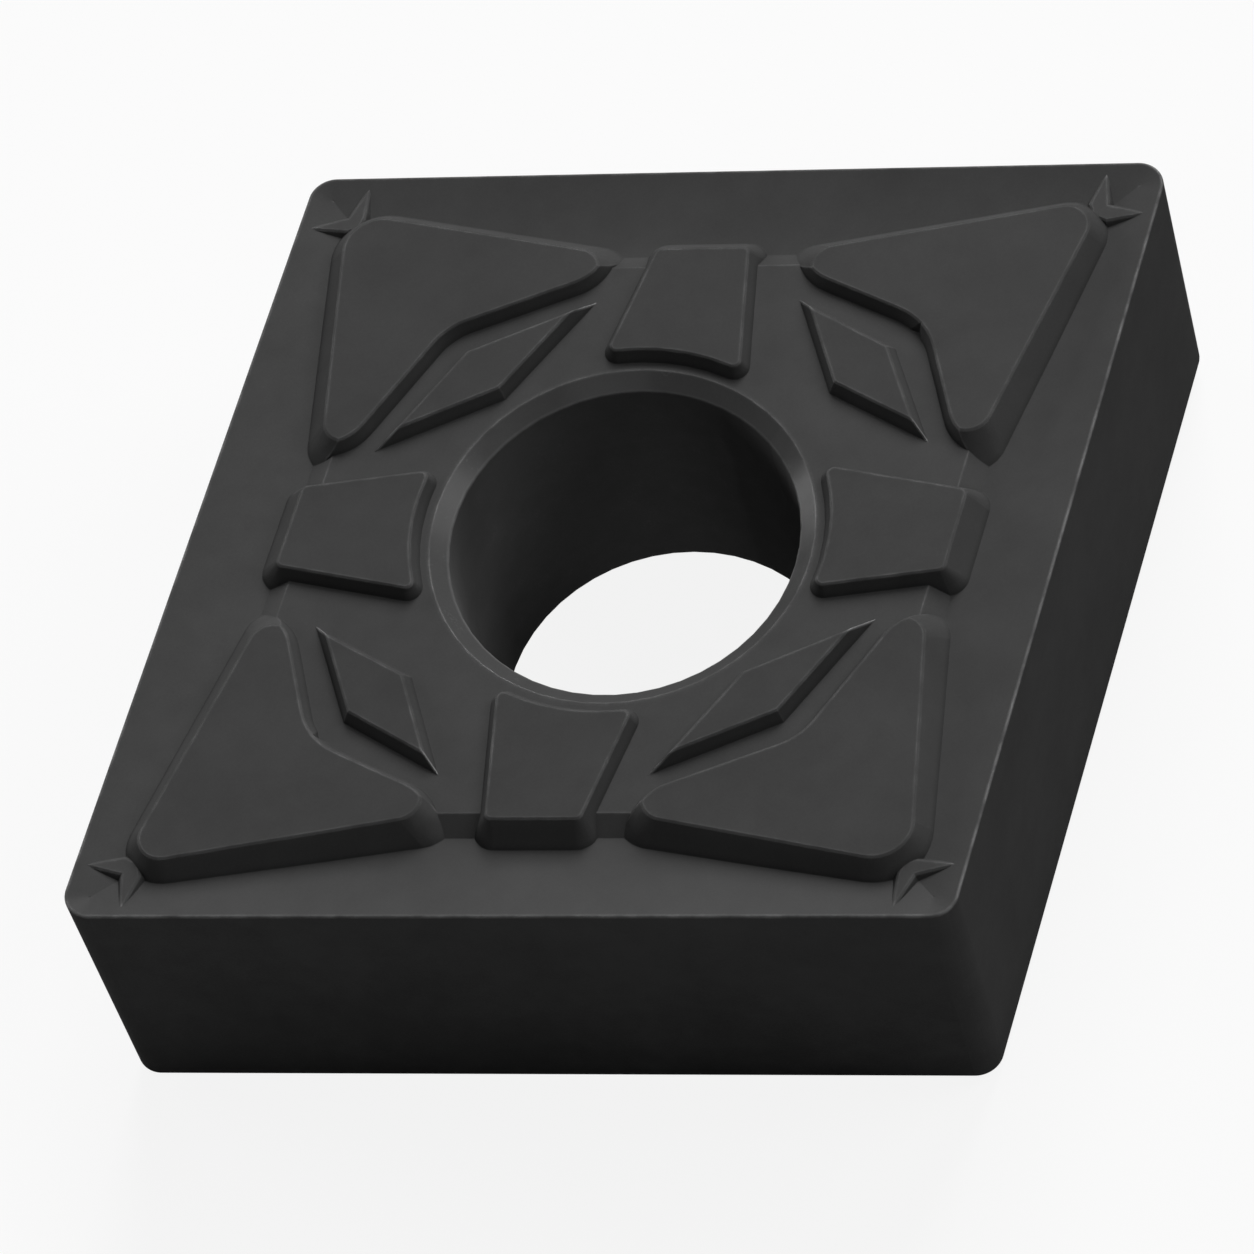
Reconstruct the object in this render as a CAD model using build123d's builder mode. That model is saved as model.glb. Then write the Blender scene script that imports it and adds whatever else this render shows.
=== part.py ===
"""Carbide turning insert: an 80 degree rhombic, double-sided plate with a clamping bore.

The part stands on its lower side, with the bore axis along Z, the long diagonal along X
and the short diagonal along Y. Both sides carry the same chip-breaker relief: a rake that
falls from the cutting edge into a groove, a raised middle floor, and on it islands, pads,
diamonds and corner darts that stand proud. The relief is drawn once for the upper side
and mirrored about both diagonals and about the middle plane.
"""

import os
from math import cos, radians, sin, sqrt, tan

from build123d import *

# Plate, in millimetres and degrees
CORNER_ANGLE = 80.0  # of the acute corners, which lie on the X axis
INSCRIBED_DIAMETER = 12.7
NOSE_RADIUS = 0.4
EDGE_TO_EDGE = 4.68  # height between the lower and the upper cutting edges
EDGE_ROUNDING = 0.03  # hone on the cutting edges

# Clamping bore
BORE_DIAMETER = 5.16
SINK_WIDTH = 0.26  # of the short upper countersink, from the bore's wall to its mouth
SINK_DEPTH = 0.2
SINK_ROUNDING = 0.05  # where the countersink meets the bore
LOWER_BREAK = 0.03  # edge break where the bore leaves the lower side

# Rake, groove and middle floor, measured down from the cutting edge
RAKE_ANGLE = 13.5  # slope where the rake leaves the cutting edge
GROOVE_DEPTH = 0.236
FLOOR_DEPTH = 0.028
FLOOR_SETBACK = 1.7  # from each cutting edge to the floor's rim
STEP_SLOPE = 31.5  # of the bank between the floor and the groove

# What stands on the floor
ISLAND_HEIGHT = 0.17  # above the cutting edges
OUTER_DRAFT = 40.0  # of the walls that face the cutting edges
INNER_DRAFT = 30.0  # of every other wall
TOP_BREAK = 0.02  # edge break round the tops, as deep as it is wide
ROOT_DEPTH = 0.06  # how far the drafted walls run on below the groove, inside the plate

# Corner islands: the apex stands back from the nose tip, and the length runs from there to the
# notch. At the wings the outer walls turn a little beyond the sweep.
ACUTE_ISLAND = {"setback": 0.947, "length": 3.225, "side": 29.4, "sweep": 24.0,
                "apex_radius": 0.357, "notch_radius": 1.08, "beyond": 0.09, "wing_draft": 17.0}
OBTUSE_ISLAND = {"setback": 0.837, "length": 2.733, "side": 38.4, "sweep": 17.6,
                 "apex_radius": 0.557, "notch_radius": 1.0, "beyond": 0.12, "wing_draft": 28.0}
OUTER_TURN = 0.35  # radius of the outer walls at the wings
INNER_TURN = 0.7  # radius of the inner walls at the wings
FLARE = 0.7  # how far beyond the outer side the inner walls would end their turn

# Side pads, whose hollow inner side follows the bore
PAD_LAND = 0.245  # from the countersink's mouth to the hollow side
PAD_INNER_SPREAD = 38.6  # angle that the hollow side spans about the bore axis
PAD_SETBACK = 1.5  # from the cutting edge to the outer side
PAD_OUTER_WIDTH = 1.375
PAD_OUTER_SHIFT = 0.764  # of the outer side's middle, towards the acute corner
PAD_RADIUS = 0.1
PAD_OVERRUN = 0.25  # how far the flanks are drawn on inside the hollow side before it is cut

# Diamonds: gap from the island's notch to the far point, and from there to the tips and the end
ACUTE_DIAMOND = {"gap": 0.715, "tips": 0.46, "length": 0.945, "half_width": 1.3}
OBTUSE_DIAMOND = {"gap": 0.567, "tips": 0.43, "length": 0.84, "half_width": 1.557}

# Corner darts, whose flat top lies a little below the cutting edges: the side tips stand back
# from the nose tip, the notch and the waist from the side tips, and the tail ends the waist
DART_DEPTH = 0.04
DART_DRAFT = 36.0
ACUTE_DART = {"setback": 0.557, "notch": 0.35, "waist": 0.54, "tail": 0.09,
              "half_width": 0.5, "waist_half": 0.2}
OBTUSE_DART = {"setback": 0.527, "notch": 0.27, "waist": 0.44, "tail": 0.08,
               "half_width": 0.59, "waist_half": 0.17}

# Worked out from the sizes above
half_angle = CORNER_ANGLE / 2
inradius = INSCRIBED_DIAMETER / 2
height = EDGE_TO_EDGE + 2 * ISLAND_HEIGHT
middle = height / 2
edge_z = height - ISLAND_HEIGHT
floor_z = edge_z - FLOOR_DEPTH
groove_z = edge_z - GROOVE_DEPTH
root_z = groove_z - ROOT_DEPTH
bore = BORE_DIAMETER / 2
sink = bore + SINK_WIDTH
rake_radius = GROOVE_DEPTH / (1 - cos(radians(RAKE_ANGLE)))
rake_length = rake_radius * sin(radians(RAKE_ANGLE))
nose_drop = GROOVE_DEPTH - rake_radius + sqrt(rake_radius**2 - (rake_length - NOSE_RADIUS) ** 2)
acute_nose = (inradius - NOSE_RADIUS) / sin(radians(half_angle))  # the nose's centre
obtuse_nose = (inradius - NOSE_RADIUS) / cos(radians(half_angle))

ACUTE, OBTUSE = (1, 0, 0), (0, 1, 0)  # the directions of the two diagonals


def level(z, along=ACUTE):
    """Horizontal plane at a height, with its own X along one of the diagonals."""
    return Plane(origin=(0, 0, z), x_dir=along, z_dir=(0, 0, 1))


def rhombus(reach, z, nose=0.0):
    """Rhombus of the plate's angle at a height, with its sides this far from the axis."""
    x, y = reach / sin(radians(half_angle)), reach / cos(radians(half_angle))
    with BuildSketch(level(z)) as shape:
        with BuildLine():
            Polyline((x, 0), (0, y), (-x, 0), (0, -y), close=True)
        make_face()
        if nose:
            fillet(shape.vertices(), nose)
    return shape.sketch


def rake_bar(turn):
    """Bar under one cutting edge's rake, which runs on under the whole plate."""
    out = Vector(1, 0, 0).rotate(Axis.Z, turn)
    across = Plane(origin=out * inradius + Vector(0, 0, edge_z), x_dir=-out,
                   z_dir=out.cross(Vector(0, 0, -1)))
    with BuildPart() as bar:
        with BuildSketch(across):
            with BuildLine():
                far = INSCRIBED_DIAMETER
                TangentArc((rake_length, -GROOVE_DEPTH), (0, 0), tangent=(-1, 0))
                Polyline((0, 0), (0, middle - edge_z), (far, middle - edge_z),
                         (far, -GROOVE_DEPTH), (rake_length, -GROOVE_DEPTH))
            make_face()
        extrude(amount=2 * inradius, both=True)
    return bar.part


def nose_sector(along, reach, spread):
    """Wedge about a nose's centre that carries the rake round the nose."""
    centre = Vector(*along) * reach
    start = Vector(*along).rotate(Axis.Z, -spread / 2)
    upright = Plane(origin=centre + Vector(0, 0, edge_z), x_dir=start,
                    z_dir=start.cross(Vector(0, 0, 1)))
    with BuildPart() as sector:
        with BuildSketch(upright):
            with BuildLine():
                RadiusArc((0, -nose_drop), (NOSE_RADIUS, 0), -rake_radius)
                Polyline((NOSE_RADIUS, 0), (NOSE_RADIUS, middle - edge_z),
                         (0, middle - edge_z), (0, -nose_drop))
            make_face()
        revolve(axis=Axis((centre.X, centre.Y, 0), (0, 0, 1)), revolution_arc=spread)
    return sector.part


def grown(corners, gaps):
    """The anticlockwise polygon with each side moved out by its own gap, side 0 leaving corner 0."""
    points = [Vector(*corner) for corner in corners]
    sides = []
    for start, end, gap in zip(points, points[1:] + points[:1], gaps):
        course = (end - start).normalized()
        sides.append((start + course.rotate(Axis.Z, -90) * gap, course))
    moved = []
    for (start, course), (before, course_before) in zip(sides, sides[-1:] + sides[:-1]):
        reach = (start - before).cross(course).Z / course_before.cross(course).Z
        moved.append(before + course_before * reach)
    return [(point.X, point.Y) for point in moved]


def drafted(corners, radii, drafts, top=height, along=ACUTE, hollow=0.0):
    """Solid with a flat top and drafted walls that run down to the root.

    A corner's radius is negative where the outline turns inwards. A hollow is the radius of
    a round side about the bore axis, cut into the outline.
    """
    slopes = [tan(radians(draft)) for draft in drafts]
    sections = []
    for z, gaps in ((root_z, [(top - root_z) * slope for slope in slopes]),
                    (top - TOP_BREAK, [TOP_BREAK * slope for slope in slopes]),
                    (top, [-TOP_BREAK] * len(slopes))):
        around = [min(pair) for pair in zip(gaps, gaps[-1:] + gaps[:-1])]
        points = grown(corners, gaps)
        with BuildSketch(level(z, along)) as section:
            with BuildLine():
                Polyline(*points, close=True)
            make_face()
            if hollow:
                Circle(hollow - gaps[-1], mode=Mode.SUBTRACT)
            for point, radius, gap in zip(points, radii, around):
                if radius:
                    rounding = radius + gap if radius > 0 else -radius - gap
                    fillet(section.vertices().sort_by_distance(point)[0], rounding)
        sections.append(section.sketch)
    return loft(sections, ruled=True, mode=Mode.PRIVATE)


def island_notch(size, tip):
    """Place of a corner island's notch along the diagonal, from the place of the nose tip."""
    return tip - size["setback"] - size["length"]


def corner_island(size, tip, along):
    """Arrowhead island: outer sides run from the apex to the wings, inner ones on to the notch.

    It is what the outer walls and the inner walls have in common, so they meet in a crease at
    each wing.
    """
    side, sweep = tan(radians(size["side"])), tan(radians(size["sweep"]))
    apex, notch = tip - size["setback"], island_notch(size, tip)
    wing_x = (notch - sweep * side * apex) / (1 - sweep * side)
    wing_y = (apex - wing_x) * side
    corners = [(apex, 0), (wing_x, wing_y), (notch, 0), (wing_x, -wing_y)]
    beyond, draft, hollow = size["beyond"], size["wing_draft"], -size["notch_radius"]
    with BuildPart() as island:
        add(drafted(grown(corners, [FLARE, 0, 0, FLARE]), [0, INNER_TURN, hollow, INNER_TURN],
                    [INNER_DRAFT] * 4, along=along))
        add(drafted(grown(corners, [0, beyond, beyond, 0]),
                    [size["apex_radius"], OUTER_TURN, 0, OUTER_TURN],
                    [OUTER_DRAFT, draft, draft, OUTER_DRAFT], along=along), mode=Mode.INTERSECT)
    return island.part


def side_pad():
    """Pad in the first quarter, with two flanks between its outer side and its hollow side."""
    out = Vector(1, 0, 0).rotate(Axis.Z, 90 - half_angle)
    side = out.rotate(Axis.Z, -90)
    hollow = sink + PAD_LAND
    rim = [out * (inradius - PAD_SETBACK) + side * (PAD_OUTER_SHIFT + turn * PAD_OUTER_WIDTH / 2)
           for turn in (1, -1)]
    foot = [Vector(hollow, 0, 0).rotate(Axis.Z, half_angle + turn * PAD_INNER_SPREAD / 2)
            for turn in (-1, 1)]
    inside = [low + (low - high) * PAD_OVERRUN for low, high in zip(foot, rim)]
    corners = [(p.X, p.Y) for p in (inside[0], rim[0], rim[1], inside[1])]
    drafts = [INNER_DRAFT, OUTER_DRAFT, INNER_DRAFT, INNER_DRAFT]
    return drafted(corners, [PAD_RADIUS] * 4, drafts, hollow=hollow)


def diamond(size, notch, along):
    """Four-sided boss across a diagonal, with sharp corners."""
    far = notch - size["gap"]
    tips, near = far - size["tips"], far - size["length"]
    corners = [(far, 0), (tips, size["half_width"]), (near, 0), (tips, -size["half_width"])]
    return drafted(corners, [0] * 4, [INNER_DRAFT] * 4, along=along)


def corner_dart(size, tip, along):
    """Small dart ahead of a corner island, with its notch towards the nose."""
    tips = tip - size["setback"]
    notch, waist = tips - size["notch"], tips - size["waist"]
    wide, narrow = size["half_width"], size["waist_half"]
    corners = [(waist - size["tail"], 0), (waist, -narrow), (tips, -wide), (notch, 0),
               (tips, wide), (waist, narrow)]
    with BuildPart() as dart:
        add(drafted(corners, [0] * 6, [DART_DRAFT] * 6, top=edge_z - DART_DEPTH, along=along))
        plate = rhombus(inradius - EDGE_ROUNDING, root_z, NOSE_RADIUS - EDGE_ROUNDING)
        extrude(plate, amount=edge_z - root_z, mode=Mode.INTERSECT)
    return dart.part


with BuildPart() as insert:
    # Upper half of the plate: a bar under each rake, trimmed to the rounded rhombus
    normal = 90 - half_angle
    for turn in (normal, 180 - normal, 180 + normal, -normal):
        add(rake_bar(turn))
    extrude(rhombus(inradius, middle, NOSE_RADIUS), amount=edge_z - middle, mode=Mode.INTERSECT)
    for nose, about in ((nose_sector(ACUTE, acute_nose, 180 - CORNER_ANGLE), Plane.YZ),
                        (nose_sector(OBTUSE, obtuse_nose, CORNER_ANGLE), Plane.XZ)):
        add([nose, nose.mirror(about)])
    rim = insert.edges().filter_by_position(Axis.Z, edge_z - 1e-4, edge_z + 1e-4)
    fillet(rim, EDGE_ROUNDING)
    floor = rhombus(inradius - FLOOR_SETBACK, floor_z)
    extrude(floor, amount=root_z - floor_z, taper=STEP_SLOPE - 90)

    # Relief
    for along, about, nose, island, boss, dart in (
            (ACUTE, Plane.YZ, acute_nose, ACUTE_ISLAND, ACUTE_DIAMOND, ACUTE_DART),
            (OBTUSE, Plane.XZ, obtuse_nose, OBTUSE_ISLAND, OBTUSE_DIAMOND, OBTUSE_DART)):
        tip = nose + NOSE_RADIUS
        for piece in (corner_island(island, tip, along),
                      diamond(boss, island_notch(island, tip), along),
                      corner_dart(dart, tip, along)):
            add([piece, piece.mirror(about)])
    pad = side_pad()
    add([pad, pad.mirror(Plane.YZ), pad.mirror(Plane.XZ), pad.mirror(Plane.YZ).mirror(Plane.XZ)])

    # Lower half
    mirror(about=Plane.XY.offset(middle))

    # Bore, with its countersink at the upper floor and its edge break at the lower one
    lower_floor, sink_foot = height - floor_z, floor_z - SINK_DEPTH
    with BuildSketch(Plane.XZ) as profile:
        with BuildLine():
            Polyline((0, -height), (bore + LOWER_BREAK, -height), (bore + LOWER_BREAK, lower_floor),
                     (bore, lower_floor + LOWER_BREAK), (bore, sink_foot), (sink, floor_z),
                     (sink, 2 * height), (0, 2 * height), close=True)
        make_face()
        fillet(profile.vertices().sort_by_distance((bore, sink_foot))[0], SINK_ROUNDING)
    revolve(axis=Axis.Z, mode=Mode.SUBTRACT)

insert.part.label = "insert"
os.makedirs("parts", exist_ok=True)
export_step(insert.part, "parts/insert.step")
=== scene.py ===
"""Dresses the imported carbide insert: a black satin coating, a pale floor and soft studio light."""

from math import cos, radians, sin

import bpy
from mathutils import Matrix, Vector


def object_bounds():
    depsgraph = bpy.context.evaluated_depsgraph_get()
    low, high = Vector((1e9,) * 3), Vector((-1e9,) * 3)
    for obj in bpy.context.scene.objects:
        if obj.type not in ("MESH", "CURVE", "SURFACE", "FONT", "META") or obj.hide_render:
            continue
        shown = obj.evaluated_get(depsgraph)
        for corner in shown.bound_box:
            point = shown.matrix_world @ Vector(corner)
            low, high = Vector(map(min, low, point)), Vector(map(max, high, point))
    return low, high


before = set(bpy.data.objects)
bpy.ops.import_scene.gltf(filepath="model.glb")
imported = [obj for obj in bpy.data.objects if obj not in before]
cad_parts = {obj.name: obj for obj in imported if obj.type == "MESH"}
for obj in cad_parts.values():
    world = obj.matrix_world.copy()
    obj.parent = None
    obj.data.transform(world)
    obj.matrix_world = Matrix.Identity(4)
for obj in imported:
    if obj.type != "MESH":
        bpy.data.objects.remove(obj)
cad_box = [list(corner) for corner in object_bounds()]
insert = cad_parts["insert"]
MM = 0.001
WHITE = (1, 1, 1, 1)
BLACK = (0, 0, 0, 1)

# ---------------------------------------------------------------- node helpers
NOISE_LOW, NOISE_HIGH = 0.3, 0.7  # nearly all of a noise's values lie between these


class Graph:
    """Adds nodes to one material and links them."""

    def __init__(self, name):
        self.material = bpy.data.materials.new(name)
        self.material.use_nodes = True
        self.tree = self.material.node_tree
        self.shader = self.tree.nodes["Principled BSDF"]
        self.output = self.tree.nodes["Material Output"]

    def node(self, kind, settings=None, **inputs):
        """One node, with its inputs given by name as values or as sockets to link."""
        made = self.tree.nodes.new("ShaderNode" + kind)
        for key, value in (settings or {}).items():
            setattr(made, key, value)
        for key, value in inputs.items():
            self.feed(made.inputs[key.replace("_", " ")], value)
        return made

    def feed(self, socket, value):
        """Links a socket into an input, or sets the input to a plain value."""
        if isinstance(value, bpy.types.NodeSocket):
            self.tree.links.new(value, socket)
        else:
            socket.default_value = value

    def math(self, operation, *values):
        """Math node of one operation."""
        made = self.tree.nodes.new("ShaderNodeMath")
        made.operation = operation
        for socket, value in zip(made.inputs, values):
            self.feed(socket, value)
        return made.outputs[0]

    def blend(self, share, low, high):
        """Value between two others, which may be sockets, by a share from 0 to 1."""
        made = self.tree.nodes.new("ShaderNodeMix")
        for name, value in (("Factor", share), ("A", low), ("B", high)):
            self.feed(made.inputs[name], value)
        return made.outputs["Result"]

    def cover(self, share, under, over):
        """Shader that turns from one into another by a share from 0 to 1."""
        made = self.node("MixShader", Fac=share)
        self.feed(made.inputs[1], under)
        self.feed(made.inputs[2], over)
        return made.outputs[0]

    def ramp(self, value, low, high, to_low=0.0, to_high=1.0):
        """Value mapped from one range to another, and held at its ends."""
        made = self.node("MapRange", Value=value, From_Min=low, From_Max=high,
                         To_Min=to_low, To_Max=to_high)
        return made.outputs["Result"]

    def noise(self, place, size, detail=3.0, roughness=0.55):
        """Noise whose blobs are about one size across, in metres."""
        made = self.node("TexNoise", Vector=place, Scale=1 / size, Detail=detail,
                         Roughness=roughness)
        return made.outputs["Fac"]

    def vary(self, noise, amount, middle=1.0):
        """Value that a noise moves up and down from a middle value by up to an amount."""
        return self.ramp(noise, NOISE_LOW, NOISE_HIGH, middle - amount, middle + amount)


# ---------------------------------------------------------------- coating
# Reflectance of each zone; several zones carry painted light or shade
GROUND = 0.0505  # black coating on the ground flanks and tops
RELIEF_PAINTED_LIGHT = 0.056  # lighter on the pressed relief: painted light making up for the light its walls keep off
SEAT_PAINTED_REFLECTION = 0.063  # the coating on the screw seat, lighter by a painted reflection
NOOK_PAINTED_SHADE = 0.032  # painted shade: darker in the inner corners of the relief, where shade falls
BORE_PAINTED_LIGHT = 0.105  # painted light: lighter in the bore, where little light reaches
WORN_AND_PAINTED_HIGHLIGHT = 0.26  # edges that handling has rubbed, lighter also as a painted highlight along the rims

# Share of each zone that reflects as metal
SHEEN = 0.05
SEAT_SHEEN = 0.2
WORN_SHEEN = 0.35

# Clouds, blotches and grain, and the share by which each changes the reflectance
CLOUD_SIZE = 1.6 * MM
CLOUD_TONE = 0.06
BLOTCH_SIZE = 0.35 * MM
BLOTCH_TONE = 0.03
GRAIN_SIZE = 0.035 * MM
GRAIN_DETAIL = 2.0
GRAIN_ROUGHNESS = 0.7
GRAIN_TONE = 0.04

# Roughness of the satin, and depth of the grain
SATIN = 0.35
BLOTCH_SATIN = 0.05
GRAIN_SATIN = 0.03
SEAT_POLISH = 0.13  # how much smoother the screw seat is
BUMP_STRENGTH = 0.25
BUMP_DEPTH = 0.002 * MM
EDGE_SOFTNESS = 0.02 * MM  # radius that sharp edges are shaded with
EDGE_SAMPLES = 3

# Screw seat and bore, from the bore's axis
SEAT_RADIUS = 2.87 * MM  # outer edge of the screw seat
SEAT_BLUR = 0.03 * MM
BORE_RADIUS = 2.60 * MM  # just outside the wall
BORE_BLUR = 0.02 * MM

# Tops, relief and flanks, from the height and from the upright part of the surface's normal
LOWEST, HIGHEST = (corner[2] for corner in cad_box)
MIDDLE = (LOWEST + HIGHEST) / 2
TOP = (HIGHEST - LOWEST) / 2  # height of the ground tops above the middle
TOP_DEPTH = 0.02 * MM  # how far below the tops the relief starts to show
RELIEF_DEPTH = 0.04 * MM  # how far below them nothing else does
FLANK_UPRIGHT, RELIEF_UPRIGHT = 0.15, 0.3
WALL_UPRIGHT, FLOOR_UPRIGHT = 0.75, 0.9

# Worn edges with their painted highlight, and the painted shade of inner corners, from how open the
# surface is to short rays
RAYS = 4
WEAR_REACH = 0.04 * MM
WEAR_START, WEAR_FULL = 0.9, 0.6
PATCH_LOW, PATCH_HIGH = 0.35, 0.6  # blotch values between which the wear grows to its full share
WEAR_LEAST = 0.3  # its share between the patches
NOOK_REACH = 0.12 * MM
NOOK_START, NOOK_FULL = 0.95, 0.7


def around_bore(graph, place, radius, blur):
    """1 nearer to the bore's axis than a radius, and 0 further out."""
    level = graph.node("VectorMath", {"operation": "MULTIPLY"}, Vector=place)
    level.inputs[1].default_value = (1, 1, 0)
    away = graph.node("VectorMath", {"operation": "LENGTH"}, Vector=level.outputs["Vector"])
    return graph.ramp(away.outputs["Value"], radius + blur, radius - blur)


def relief_painted_light_mask(graph, place, upright):
    """1 on what faces up or down, apart from the ground tops: the relief that light is painted onto.
    """
    height = graph.node("SeparateXYZ", Vector=place).outputs["Z"]
    height = graph.math("ABSOLUTE", graph.math("SUBTRACT", height, MIDDLE))
    below = graph.ramp(height, TOP - TOP_DEPTH, TOP - RELIEF_DEPTH)
    return graph.math("MULTIPLY", graph.ramp(upright, FLANK_UPRIGHT, RELIEF_UPRIGHT), below)


def worn_and_highlit_edges(graph, blotches):
    """1 on convex edges, in patches, for wear and a painted highlight: rays cast inside the body
    soon meet its surface there.
    """
    rays = graph.node("AmbientOcclusion", {"inside": True, "samples": RAYS, "only_local": True},
                      Distance=WEAR_REACH)
    edge = graph.ramp(rays.outputs["AO"], WEAR_START, WEAR_FULL)
    patches = graph.ramp(blotches, PATCH_LOW, PATCH_HIGH, WEAR_LEAST, 1.0)
    return graph.math("MULTIPLY", edge, patches)


def painted_nook_shade(graph, upright):
    """1 at the foot of the relief's walls, where shade is painted: rays cast outwards soon meet the
    floor there.
    """
    rays = graph.node("AmbientOcclusion", {"samples": RAYS, "only_local": True},
                      Distance=NOOK_REACH)
    foot = graph.ramp(rays.outputs["AO"], NOOK_START, NOOK_FULL)
    return graph.math("MULTIPLY", foot, graph.ramp(upright, FLOOR_UPRIGHT, WALL_UPRIGHT))


def coating():
    """Black satin coating on pressed and sintered carbide, zone by zone, with painted light and
    shade in some zones.
    """
    graph = Graph("black_coating")
    place = graph.node("TexCoord").outputs["Object"]
    normal = graph.node("TexCoord").outputs["Normal"]
    upright = graph.math("ABSOLUTE", graph.node("SeparateXYZ", Vector=normal).outputs["Z"])
    clouds = graph.noise(place, CLOUD_SIZE)
    blotches = graph.noise(place, BLOTCH_SIZE)
    grain = graph.noise(place, GRAIN_SIZE, GRAIN_DETAIL, GRAIN_ROUGHNESS)
    seat = around_bore(graph, place, SEAT_RADIUS, SEAT_BLUR)
    bore = around_bore(graph, place, BORE_RADIUS, BORE_BLUR)
    worn_and_highlit = worn_and_highlit_edges(graph, blotches)

    # The relief is painted lighter, as light
    level = graph.blend(relief_painted_light_mask(graph, place, upright), GROUND, RELIEF_PAINTED_LIGHT)
    # The screw seat is lighter by a painted reflection
    level = graph.blend(seat, level, SEAT_PAINTED_REFLECTION)
    # Painted shade darkens the inner corners of the relief
    level = graph.blend(painted_nook_shade(graph, upright), level, NOOK_PAINTED_SHADE)
    # Painted light lightens the bore
    level = graph.blend(bore, level, BORE_PAINTED_LIGHT)
    # The edges are lighter by wear and by a painted highlight
    level = graph.blend(worn_and_highlit, level, WORN_AND_PAINTED_HIGHLIGHT)
    tone = graph.math("MULTIPLY", graph.vary(clouds, CLOUD_TONE), graph.vary(blotches, BLOTCH_TONE))
    tone = graph.math("MULTIPLY", tone, graph.vary(grain, GRAIN_TONE))
    graph.feed(graph.shader.inputs["Base Color"], graph.math("MULTIPLY", level, tone))

    # The clear layer is left out, because at low angles it would mirror the white floor
    metal = graph.blend(seat, SHEEN, SEAT_SHEEN)
    metal = graph.blend(bore, metal, SHEEN)
    graph.feed(graph.shader.inputs["Metallic"], graph.blend(worn_and_highlit, metal, WORN_SHEEN))
    graph.feed(graph.shader.inputs["Specular IOR Level"], 0.0)
    graph.feed(graph.shader.inputs["Specular Tint"], BLACK)

    satin = graph.math("ADD", graph.vary(blotches, BLOTCH_SATIN, SATIN),
                       graph.vary(grain, GRAIN_SATIN, 0.0))
    satin = graph.math("SUBTRACT", satin, graph.math("MULTIPLY", seat, SEAT_POLISH))
    graph.feed(graph.shader.inputs["Roughness"], satin)

    soft = graph.node("Bevel", {"samples": EDGE_SAMPLES}, Radius=EDGE_SOFTNESS)
    bump = graph.node("Bump", Height=grain, Strength=BUMP_STRENGTH, Distance=BUMP_DEPTH,
                      Normal=soft.outputs["Normal"])
    graph.feed(graph.shader.inputs["Normal"], bump.outputs["Normal"])
    return graph.material


insert.data.materials.clear()
insert.data.materials.append(coating())

# ---------------------------------------------------------------- floor
FLOOR_COLOUR = (0.7, 0.7, 0.7, 1)
FLOOR_HALF = 2.0  # half of its side, in metres
FLOOR_DROP = 0.01 * MM  # keeps the floor off the plane of the tops that rest on it
CLEARED = 0.88  # how far the floor is cleared to white where it is looked at


def looked_at(tree):
    """1 for the rays of the camera, of reflections and of see-through parts, and 0 for the rest."""
    path = tree.nodes.new("ShaderNodeLightPath").outputs
    either = path["Is Camera Ray"]
    for name in ("Is Glossy Ray", "Is Transmission Ray"):
        greater = tree.nodes.new("ShaderNodeMath")
        greater.operation = "MAXIMUM"
        tree.links.new(either, greater.inputs[0])
        tree.links.new(path[name], greater.inputs[1])
        either = greater.outputs[0]
    return either


def pale_floor():
    """Matt pale floor, cleared towards white where it is looked at, and open from below."""
    graph = Graph("pale_floor")
    graph.feed(graph.shader.inputs["Base Color"], FLOOR_COLOUR)
    graph.feed(graph.shader.inputs["Roughness"], 1.0)
    graph.feed(graph.shader.inputs["Specular IOR Level"], 0.0)
    white = graph.node("Emission", Color=WHITE, Strength=1.0).outputs[0]
    share = graph.math("MULTIPLY", looked_at(graph.tree), CLEARED)
    upper = graph.cover(share, graph.shader.outputs[0], white)
    below = graph.node("NewGeometry").outputs["Backfacing"]
    surface = graph.cover(below, upper, graph.node("BsdfTransparent").outputs[0])
    graph.feed(graph.output.inputs["Surface"], surface)
    return graph.material


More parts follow.
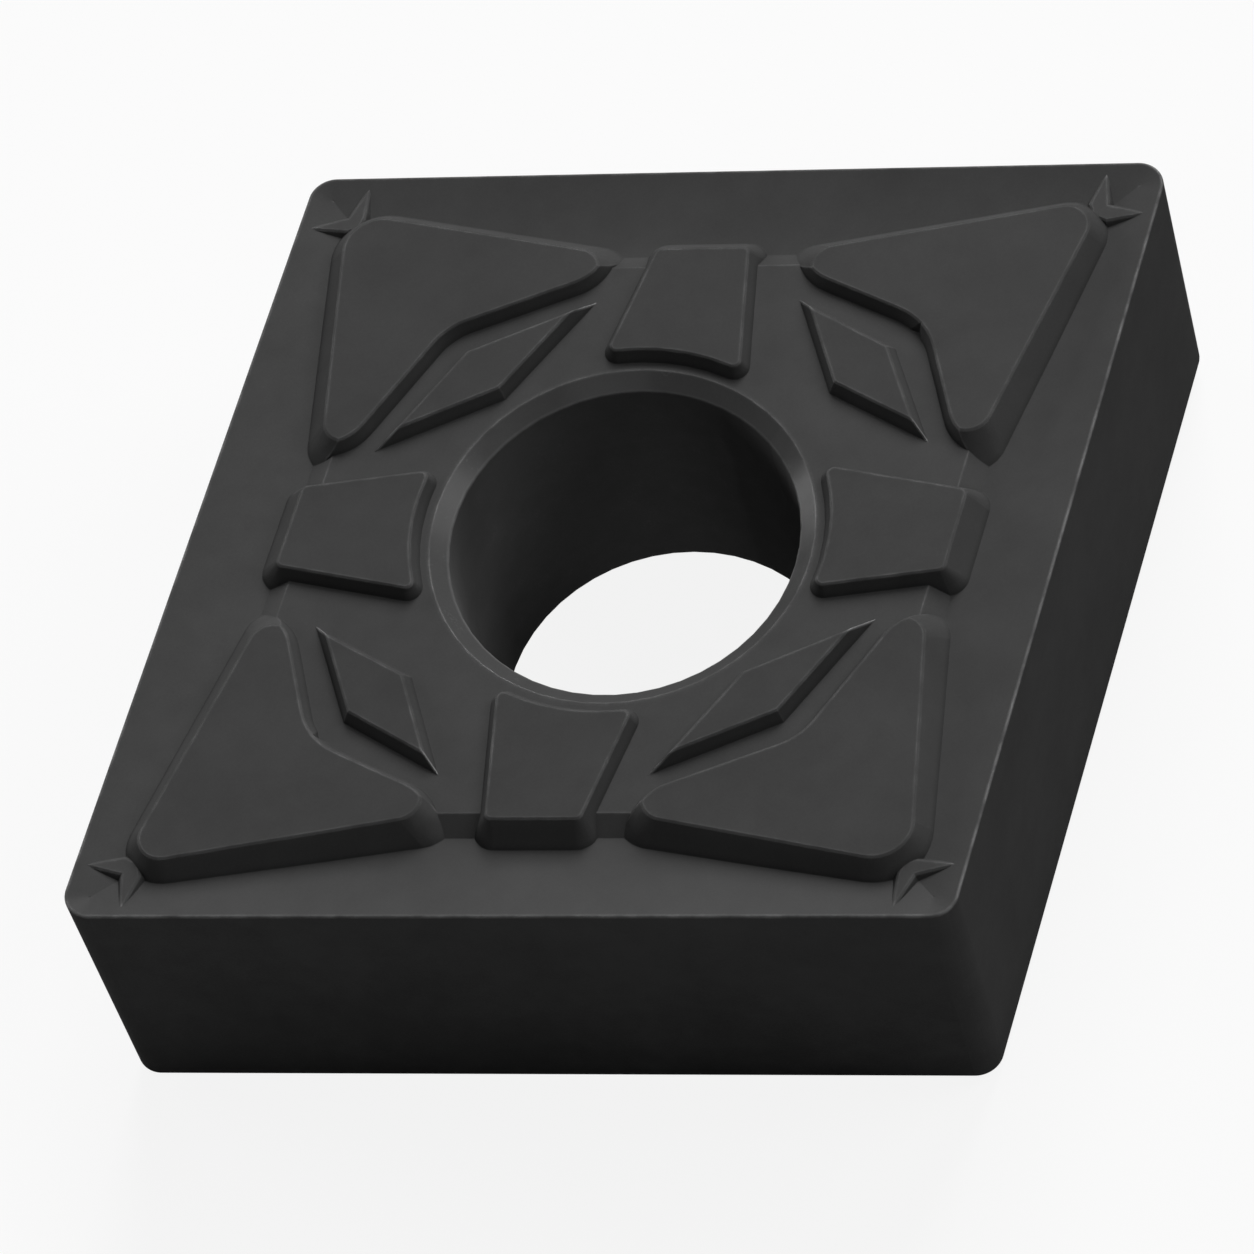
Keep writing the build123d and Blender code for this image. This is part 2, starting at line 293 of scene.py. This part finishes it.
mesh = bpy.data.meshes.new("floor")
signs = ((-1, -1), (1, -1), (1, 1), (-1, 1))
corners = [(x * FLOOR_HALF, y * FLOOR_HALF, -FLOOR_DROP) for x, y in signs]
mesh.from_pydata(corners, [], [(0, 1, 2, 3)])
mesh.materials.append(pale_floor())
floor = bpy.data.objects.new("floor", mesh)
bpy.context.scene.collection.objects.link(floor)

# ---------------------------------------------------------------- light
LAMP_REACH = 0.5
LAMP_SIZE = 0.25

world = bpy.data.worlds.new("studio")
world.use_nodes = True
bpy.context.scene.world = world
backdrop = world.node_tree.nodes["Background"]
backdrop.inputs["Color"].default_value = WHITE
world.node_tree.links.new(looked_at(world.node_tree), backdrop.inputs["Strength"])


def lamp(name, azimuth, elevation, power):
    """Square area lamp that faces the object, placed by its direction from it."""
    data = bpy.data.lights.new(name, "AREA")
    data.shape = "SQUARE"
    data.size = LAMP_SIZE
    data.energy = power
    item = bpy.data.objects.new(name, data)
    bpy.context.scene.collection.objects.link(item)
    turn, rise = radians(azimuth), radians(elevation)
    item.location = Vector((cos(rise) * cos(turn), cos(rise) * sin(turn), sin(rise))) * LAMP_REACH
    item.rotation_euler = item.location.to_track_quat("Z", "Y").to_euler()


lamp("key", azimuth=43, elevation=38, power=2.65)
lamp("side", azimuth=-18, elevation=42, power=0.83)
lamp("front", azimuth=-130, elevation=60, power=0.20)
lamp("low", azimuth=113, elevation=8, power=1.5)

# ---------------------------------------------------------------- camera
CAMERA_PLACE = Vector((-20.165, -59.060, 96.743)) * MM
CAMERA_TURN = (32.102, 10.160, -34.231)  # degrees about X, Y and Z
LENS = 221.05  # focal length, in millimetres
SENSOR = 36  # its width, in millimetres
NEAREST = 10 * MM  # what is nearer to the camera doesn't show

data = bpy.data.cameras.new("camera")
data.lens = LENS
data.sensor_width = SENSOR
data.clip_start = NEAREST
camera = bpy.data.objects.new("camera", data)
bpy.context.scene.collection.objects.link(camera)
camera.location = CAMERA_PLACE
camera.rotation_euler = [radians(angle) for angle in CAMERA_TURN]
bpy.context.scene.camera = camera
bpy.context.scene.view_settings.view_transform = "Standard"
